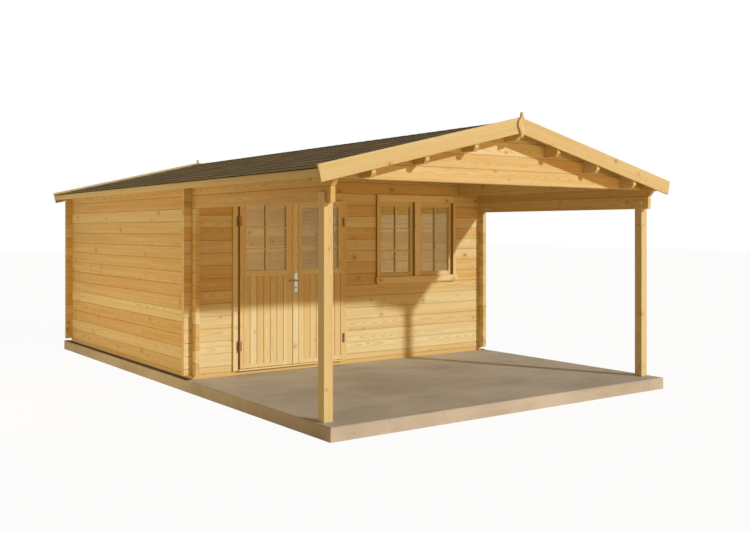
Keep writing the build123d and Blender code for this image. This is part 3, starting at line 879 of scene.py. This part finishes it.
SIDE_BASE = span("left_wall", Z)[0]
CROSS_BASE = SIDE_BASE - LOG_PITCH / 2
ROOF_FRONT, ROOF_BACK = span("left_roof_covering", Y)
ROOF_LENGTH = ROOF_BACK - ROOF_FRONT
RIDGE_BOARD_TOP = span("left_roof_boards", Z)[1]
RIDGE_COVERING_TOP = span("left_roof_covering", Z)[1]
ROOF_HALF = -span("left_roof_covering", X)[0]


def pane(node):
    """Clear opening in front of a sheet of glass."""
    return [(low + GLASS_BITE, high - GLASS_BITE) for low, high in (span(node, X), span(node, Z))]


def sash_panes():
    """Clear openings of the two sashes, which share one node of glass."""
    (left, right), height = pane("window_glass")
    return [((left, left + SASH_PANE_WIDTH), height), ((right - SASH_PANE_WIDTH, right), height)]


def panel(side):
    """Span across a leaf of its lower panel, which lies nearer to the hinges than the pane over it."""
    (low, high), _ = pane(side + "_door_glass")
    start, end = span(side + "_door_leaf", X)
    if side == "left":
        return start + PANEL_STILE, start + PANEL_STILE + high - low
    return end - PANEL_STILE - (high - low), end - PANEL_STILE


# Finishes of the carried-over pieces

def dress(finish, *nodes):
    """Gives carried-over nodes their finish."""
    for node in nodes:
        slots = frame["nodes"][node].data.materials
        slots.clear()
        slots.append(finish)


def log_finishes():
    """Log walls: one finish for each wall plane, so that grain and knots lie in the logs."""
    walls = [("left", Y, X, SIDE_BASE, ("left_wall", "left_porch_beam", "left_eave_log")),
             ("right", Y, X, SIDE_BASE, ("right_wall", "right_porch_beam", "right_eave_log")),
             ("back", X, Y, CROSS_BASE, ("back_wall", "back_gable")),
             ("front", X, Y, CROSS_BASE, ("front_wall_left", "front_wall_low", "front_wall_middle",
                                          "front_wall_right", "front_gable")),
             ("porch", X, Y, CROSS_BASE, ("porch_gable",))]
    for count, (name, along, through, base, nodes) in enumerate(walls):
        layout = log_layout(along, through, middle(nodes[0], through), base)
        dress(pine(name + "_log_pine", layout, LOG_PINE, count * WALL_GRAIN_STEP), *nodes)
    layout = stick_layout(Y, X, pair("base_beams", X, BASE_BEAM_WIDTH), middle("base_beams", Z))
    dress(pine("base_beam_pine", layout, LOG_PINE, BEAM_GRAIN), "base_beams")


def fittings(steel, bronze):
    """Slab, glass, hinges and handle."""
    dress(concrete("floated_concrete"), "concrete_slab")
    dress(pane_glass("float_glass"), "left_door_glass", "right_door_glass", "window_glass")
    dress(bronze, "frame_hinges", "left_leaf_hinges", "right_leaf_hinges")
    dress(steel, "handle_plate")
    dress(metal("lever_bronze"), "door_lever")


# Planed pieces that stand for their sawn nodes

def trim_piece(node, layout, slot="trim_wood"):
    radius, tones, knots, number = TRIM[node]
    piece = eased(node, radius, pine(node + "_pine", layout, tones, number, knots))
    keep(piece, frame["nodes"][node]["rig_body"], slot, node)


def porch_and_roof_trim():
    """Posts, boards round the roof, and roof timbers."""
    trim_piece("porch_posts", stick_layout(Z, X, pair("porch_posts", X, POST_SIZE), middle("porch_posts", Y)))
    fascias = pair("eave_fascias", X, FASCIA_THICKNESS)
    trim_piece("eave_fascias", stick_layout(Y, X, fascias, middle("eave_fascias", Z)))
    for node in ("front_bargeboards", "back_bargeboards"):
        low = span(node, Z)[0] * ROOF_COSINE + ROOF_HALF * ROOF_SINE
        trim_piece(node, slope_layout(low, middle(node, Y)))
    trim_piece("finials", stick_layout(Z, X, [span("finials", X)], 0.0))
    for node in ("ridge_purlin", "purlins"):
        trim_piece(node, purlin_layout, "roof_wood")


def door_trim():
    """Jambs, head and threshold, the window's sill, the cover strip and the leaves."""
    trim_piece("door_jambs", stick_layout(Z, X, pair("door_jambs", X, JAMB_WIDTH), middle("door_head", Y)))
    for node in ("door_head", "door_threshold", "window_sill"):
        trim_piece(node, stick_layout(X, Z, [span(node, Z)], middle(node, Y)))
    # Painted shadow along the right edge of the cover strip, where the leaves meet; the span reaches past the
    # left edge so that only the right edge is darkened
    left, right = span("meeting_strip", X)
    strip = [(left - 2 * BOARD_SEAM, right)]
    trim_piece("meeting_strip", stick_layout(Z, X, strip, middle("meeting_strip", Y), BOARD_SEAM))
    for side in ("left", "right"):
        leaf = side + "_door_leaf"
        (pane_left, pane_right), (low, high) = pane(side + "_door_glass")
        panel_left, panel_right = panel(side)
        left, right = span(leaf, X)
        foot, head = span(leaf, Z)
        edges = [left, *sorted((pane_left, panel_left)), *sorted((pane_right, panel_right)), right]
        stiles = [(edges[at], edges[at + 1]) for at in (0, 1, 3, 4)]
        rails = [(foot, low - PANEL_HEAD), (low - PANEL_HEAD, low), (high, head)]
        trim_piece(leaf, frame_layout(stiles, rails, middle(leaf, Y)))


def window_trim():
    """Window frame and sashes."""
    centre = middle("window_frame", X)
    left_post, right_post = pair("window_frame", X, WINDOW_POST)
    posts = [left_post, (centre - WINDOW_MIDDLE_POST / 2, centre + WINDOW_MIDDLE_POST / 2), right_post]
    rails = pair("window_frame", Z, WINDOW_RAIL)
    trim_piece("window_frame", frame_layout(posts, rails, middle("window_frame", Y)))
    panes = sash_panes()
    stiles = []
    for (left, right), _ in panes:
        stiles += [(left - SASH_STILE, left), (right, right + SASH_STILE)]
    foot, head = span("window_sashes", Z)
    low, high = panes[0][1]
    trim_piece("window_sashes", frame_layout(stiles, [(foot, low), (high, head)], middle("window_sashes", Y)))


# Roof

def slope_place(side, distance, lift):
    """Where rows start on one slope: distance is measured from the ridge down the covering's top face."""
    up = Vector((-side * ROOF_COSINE, 0.0, ROOF_SINE))
    normal = Vector((side * ROOF_SINE, 0.0, ROOF_COSINE))
    along = up.cross(normal)
    origin = Vector((0.0, ROOF_FRONT if along.y > 0 else ROOF_BACK, RIDGE_COVERING_TOP))
    return axes_place(origin - up * distance + normal * lift, along, up)


def shingles(finish):
    """Rows of shingles on both slopes, and the tabs over the ridge."""
    dress(finish, "left_roof_covering", "right_roof_covering", "ridge_cap")
    slope_length = ROOF_HALF / ROOF_COSINE
    count = math.ceil(slope_length / SHINGLE_EXPOSURE) - 1
    tabs = round(ROOF_LENGTH / SHINGLE_TAB)
    values = {"Rows": count, "Tabs": tabs, "Exposure": SHINGLE_EXPOSURE, "Tab": ROOF_LENGTH / tabs,
              "Slot": SHINGLE_SLOT, "Thickness": SHINGLE_THICKNESS,
              "Overlap": SHINGLE_EXPOSURE * SHINGLE_OVERLAP_SHARE, "Material": finish}
    tree = shingles_tree()
    for seed, (name, side) in enumerate((("left", -1), ("right", 1))):
        place = slope_place(side, slope_length, CLEARANCE)
        keep(grow(name + "_shingles", tree, values | {"Seed": seed}, place), "house", "shingle")
    count = round((ROOF_LENGTH - RIDGE_TAB_EXPOSURE) / RIDGE_TAB_EXPOSURE)
    exposure = ROOF_LENGTH / (count + RIDGE_TAB_OVERLAP_SHARE)
    values = {"Count": count, "Exposure": exposure, "Length": exposure * (1 + RIDGE_TAB_OVERLAP_SHARE),
              "Reach": RIDGE_TAB_REACH, "Thickness": SHINGLE_THICKNESS, "Rise": ROOF_SLOPE, "Seed": 2,
              "Material": finish}
    origin = (0.0, ROOF_FRONT, RIDGE_COVERING_TOP + SHINGLE_THICKNESS * RIDGE_TAB_LIFT_SHARE)
    place = axes_place(origin, (0.0, 1.0, 0.0), (-1.0, 0.0, 0.0))
    keep(grow("ridge_tabs", ridge_tree(), values, place), "house", "shingle", "ridge_cap")


def roof_boards():
    """Tongued boards seen from below, with a V between each two."""
    finish = pine("roof_board_pine", roof_board_layout, ROOF_PINE, 0.0, ROOF_BOARD_KNOTS)
    count = math.floor(ROOF_LENGTH / ROOF_BOARD_PITCH)
    spacing = ROOF_LENGTH / count
    for name, side in (("left", -1), ("right", 1)):
        node = name + "_roof_boards"
        low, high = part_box(node)
        thickness = (high.z - low.z - (high.x - low.x) * ROOF_SLOPE) * ROOF_COSINE
        normal = Vector((side * ROOF_SINE, 0.0, ROOF_COSINE))
        start = Vector((low.x, (ROOF_FRONT + ROOF_BACK) / 2, RIDGE_BOARD_TOP - abs(low.x) * ROOF_SLOPE))
        place = axes_place(start - normal * thickness / 2, (0.0, 1.0, 0.0), normal)
        size = (spacing - 2 * CLEARANCE, thickness - CLEARANCE, (high.x - low.x) / ROOF_COSINE)
        boards = lay_bars(name + "_ceiling_boards", place, finish, size, ROOF_BOARD_CHAMFER, count, spacing)
        keep(boards, "house", "roof_wood", node)


def foot_shade_strips():
    """Dark strips on the slab along the foot of both side walls, as painted shade for the shadow there."""
    slab_low, slab_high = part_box("concrete_slab")
    beam_low, beam_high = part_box("base_beams")
    front = span("front_wall_left", Y)[0]
    level = slab_high.z + SHADE_SHEET_THICKNESS / 2 + CLEARANCE
    finish = shade_sheet("painted_shade_sheet")
    made = []
    for edge, beam in ((slab_low.x, beam_low.x), (slab_high.x, beam_high.x)):
        size = (abs(edge - beam) - SHADE_SHEET_MARGIN, SHADE_SHEET_THICKNESS, slab_high.y - SHADE_SHEET_MARGIN - front)
        place = axes_place(((edge + beam) / 2, front, level), (1.0, 0.0, 0.0), (0.0, 0.0, -1.0))
        made.append(lay_bars("foot_shade_strips", place, finish, size, CLEARANCE))
    keep(gather("foot_shade_strips", made), "house", "shingle")


# Door and window

def pane_bars(name, x_span, z_span, glass, holder, finish):
    """Glazing bars and a bead on both faces of a pane, a little behind the faces of what holds it."""
    width, height = x_span[1] - x_span[0], z_span[1] - z_span[0]
    made = []
    for way, face, bead in ((-1, 0, OUTER_BEAD), (1, 1, INNER_BEAD)):
        y_face = span(glass, Y)[face] + way * CLEARANCE
        depth = abs(span(holder, Y)[face] - y_face) - BAR_SETBACK
        y = y_face + way * depth / 2
        place = Matrix.Translation((sum(x_span) / 2, y, z_span[0]))
        size = (UPRIGHT_BAR, depth, height)
        made.append(lay_bars(name, place, finish, size, BAR_CHAMFER, PANE_COLUMNS - 1, width / PANE_COLUMNS))
        place = axes_place((x_span[0], y, sum(z_span) / 2), (0.0, 0.0, -1.0), (0.0, 1.0, 0.0))
        size = (LEVEL_BAR, depth - CLEARANCE, width)
        made.append(lay_bars(name, place, finish, size, BAR_CHAMFER, PANE_ROWS - 1, height / PANE_ROWS))
        made.append(ring(name, x_span, z_span, y_face, way, bead, finish))
    return made


def glazing():
    """Bars and beads on both faces of every sheet of glass."""
    for side in ("left", "right"):
        name, glass = side + "_door_bars", side + "_door_glass"
        x_span, z_span = pane(glass)
        reach = (x_span[0] - DOOR_BAR_REACH, x_span[1] + DOOR_BAR_REACH)
        layout = frame_layout([reach], [z_span], middle(glass, Y))
        finish = pine(side + "_door_bar_pine", layout, DOOR_PINE, DOOR_BAR_GRAIN[side], 0.0)
        made = pane_bars(name, x_span, z_span, glass, side + "_door_leaf", finish)
        keep(gather(name, made), side + "_leaf", "trim_wood")
    layout = frame_layout([WINDOW_BAR_SPAN], [WINDOW_BAR_SPAN], middle("window_glass", Y))
    finish = pine("window_bar_pine", layout, DOOR_PINE, WINDOW_BAR_GRAIN, 0.0)
    made = []
    for x_span, z_span in sash_panes():
        made += pane_bars("window_bars", x_span, z_span, "window_glass", "window_sashes", finish)
    keep(gather("window_bars", made), "house", "trim_wood")


def panel_boards():
    """Upright boards on both faces of the doors' lower panels."""
    for side in ("left", "right"):
        name, leaf = side + "_panel_boards", side + "_door_leaf"
        left, right = panel(side)
        _, (pane_low, _) = pane(side + "_door_glass")
        low = span(leaf, Z)[0] + PANEL_FOOT
        high = pane_low - PANEL_HEAD
        spacing = (right - left) / PANEL_BOARDS
        spans = [(left + spacing * at, left + spacing * (at + 1)) for at in range(PANEL_BOARDS)]
        # The boards' edges get painted shade in the grooves between them.
        layout = stick_layout(Z, X, spans, middle(leaf, Y), BOARD_SEAM)
        finish = pine(side + "_panel_pine", layout, DOOR_PINE, PANEL_GRAIN[side], DOOR_KNOTS)
        size = (spacing - CLEARANCE, PANEL_BOARD_THICKNESS, high - low - 2 * CLEARANCE)
        made = []
        for y_face, way in zip(span(leaf, Y), (1, -1)):
            y_middle = y_face + way * (PANEL_RECESS - PANEL_BOARD_THICKNESS / 2)
            place = Matrix.Translation(((left + right) / 2, y_middle, low + CLEARANCE))
            made.append(lay_bars(name, place, finish, size, PANEL_BOARD_CHAMFER, PANEL_BOARDS, spacing))
        keep(gather(name, made), side + "_leaf", "trim_wood")


# Fasteners and lock

def hinge_screws(finish):
    """Three screws in each hinge plate, on the frame and on the leaves."""
    left, right = span("frame_hinges", X)
    on_frame = (left + FRAME_PLATE_EDGE, right - FRAME_PLATE_EDGE)
    on_left_leaf = (span("left_leaf_hinges", X)[1] - LEAF_PLATE_EDGE,)
    on_right_leaf = (span("right_leaf_hinges", X)[0] + LEAF_PLATE_EDGE,)
    low, high = span("frame_hinges", Z)
    levels = (low + HINGE_HEIGHT / 2, high - HINGE_HEIGHT / 2)
    for name, body, plates, columns in (
            ("frame_hinge_screws", "house", "frame_hinges", on_frame),
            ("left_hinge_screws", "left_leaf", "left_leaf_hinges", on_left_leaf),
            ("right_hinge_screws", "right_leaf", "right_leaf_hinges", on_right_leaf)):
        y = span(plates, Y)[1] - HINGE_SHEET - SCREW_HEIGHT / 2 + CLEARANCE
        points = [(x, y, level + SCREW_STEP * at) for x in columns for level in levels for at in (-1, 0, 1)]
        set_heads(name, points, SCREW_RADIUS, SCREW_HEIGHT, FRONT_TILT, finish, body, "hinge_metal")


def lock_fittings(finish):
    """Plate screws, the lock cylinder and the lever's collar."""
    low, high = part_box("handle_plate")
    x = (low.x + high.x) / 2
    screw_y, fitting_y = low.y - SCREW_HEIGHT / 2 + CLEARANCE, low.y - FITTING_PROUD
    screws = [(x, screw_y, low.z + PLATE_SCREW_EDGE), (x, screw_y, high.z - PLATE_SCREW_EDGE)]
    lock = [(x, fitting_y, high.z - LOCK_DROP)]
    collar = [(x, fitting_y, high.z - LEVER_DROP)]
    for name, points, radius, height, head_finish in (
            ("plate_screws", screws, SCREW_RADIUS, SCREW_HEIGHT, finish),
            ("lock_cylinder", lock, LOCK_RADIUS, FITTING_HEIGHT, metal("lock_brass")),
            ("lever_collar", collar, COLLAR_RADIUS, FITTING_HEIGHT, finish)):
        set_heads(name, points, radius, height, FRONT_TILT, head_finish, "left_leaf", "handle_metal")


def board_nails(finish):
    """Two nails through the bargeboards into each roof timber."""
    outer = span("purlins", X)[1] - PURLIN_WIDTH / 2
    reaches = [outer * share for share in PURLIN_PLACE_SHARES] + [middle("right_eave_log", X)]
    places = [side * reach for side in (-1, 1) for reach in reaches]
    for name, node, face, tilt in (("front_nails", "front_bargeboards", 0, FRONT_TILT),
                                   ("back_nails", "back_bargeboards", 1, -FRONT_TILT)):
        y = span(node, Y)[face]
        top = span(node, Z)[1]
        points = [(x, y, top - abs(x) * ROOF_SLOPE - drop) for x in places for drop in NAIL_DROPS]
        set_heads(name, points, NAIL_RADIUS, NAIL_HEIGHT, tilt, finish, "house", "hinge_metal")


# Stage, light and camera

def seen_directly(graph):
    """1 for rays from the camera, in a mirror or through glass."""
    light = graph.outs("ShaderNodeLightPath")
    seen = graph.math("MAXIMUM", light["Is Camera Ray"], light["Is Glossy Ray"])
    return graph.math("MAXIMUM", seen, light["Is Transmission Ray"])


def floor():
    """Pale floor that keeps a soft shadow."""
    mesh = bpy.data.meshes.new("floor")
    ways = ((-1, -1), (1, -1), (1, 1), (-1, 1))
    corners = [(x * FLOOR_REACH, y * FLOOR_REACH, FLOOR_LEVEL) for x, y in ways]
    mesh.from_pydata(corners, [], [(0, 1, 2, 3)])
    piece = new_piece("floor", mesh)
    material, graph, shader = new_material("pale_floor")
    graph.fill(shader, {"Base Color": FLOOR_TINT, "Roughness": 0.9})
    glow = graph.out("ShaderNodeEmission", {"Color": WHITE, "Strength": 1.0})
    graph.surface("Material Output", seen_directly(graph) * FLOOR_GLOW_SHARE, shader, glow)
    mesh.materials.append(material)


def sky():
    """Even warm surround, white where it is seen."""
    world = bpy.data.worlds.new("studio")
    world.use_nodes = True
    bpy.context.scene.world = world
    graph = Graph(world.node_tree)
    light = world.node_tree.nodes["Background"]
    graph.fill(light, {"Color": SKY_TINT, "Strength": SKY_STRENGTH})
    white = graph.out("ShaderNodeBackground", {"Color": WHITE, "Strength": 1.0})
    graph.surface("World Output", seen_directly(graph), light, white)


def lamp(name, kind, place, way, strength, color, **settings):
    """A lamp that lights the object and isn't seen itself."""
    data = bpy.data.lights.new(name, kind)
    data.energy = strength
    data.color = color
    for key, value in settings.items():
        setattr(data, key, value)
    made = bpy.data.objects.new(name, data)
    made.location = place
    made.rotation_euler = Vector(way).to_track_quat("-Z", "Y").to_euler()
    for ray in ("camera", "glossy", "transmission"):
        setattr(made, "visible_" + ray, False)
    bpy.context.scene.collection.objects.link(made)


def lights():
    """A soft sun from the front right, low lamps for the front and the left wall, and one in the room."""
    lamp("sun", "SUN", SUN_PLACE, SUN_WAY, SUN_STRENGTH, WHITE[:3], angle=SUN_SPREAD)
    for name, place, way, watts, tint, width, height in LAMPS:
        lamp(name, "AREA", place, way, watts, tint, shape="RECTANGLE", size=width, size_y=height)


def camera():
    data = bpy.data.cameras.new("camera")
    data.lens = CAMERA_LENS
    data.sensor_width = CAMERA_SENSOR
    data.shift_y = CAMERA_SHIFT
    made = bpy.data.objects.new("camera", data)
    made.location = CAMERA_PLACE
    made.rotation_euler = (math.pi / 2, 0.0, CAMERA_TURN)
    bpy.context.scene.collection.objects.link(made)
    bpy.context.scene.camera = made


def main():
    steel, bronze = metal("brushed_steel"), metal("bronzed_steel")
    log_finishes()
    porch_and_roof_trim()
    door_trim()
    window_trim()
    fittings(steel, bronze)
    foot_shade_strips()
    roof_boards()
    shingles(shingle("slate_grit"))
    glazing()
    panel_boards()
    hinge_screws(bronze)
    lock_fittings(steel)
    board_nails(metal("nail_steel"))
    floor()
    sky()
    lights()
    camera()
    bpy.context.scene.view_settings.view_transform = "Standard"


main()
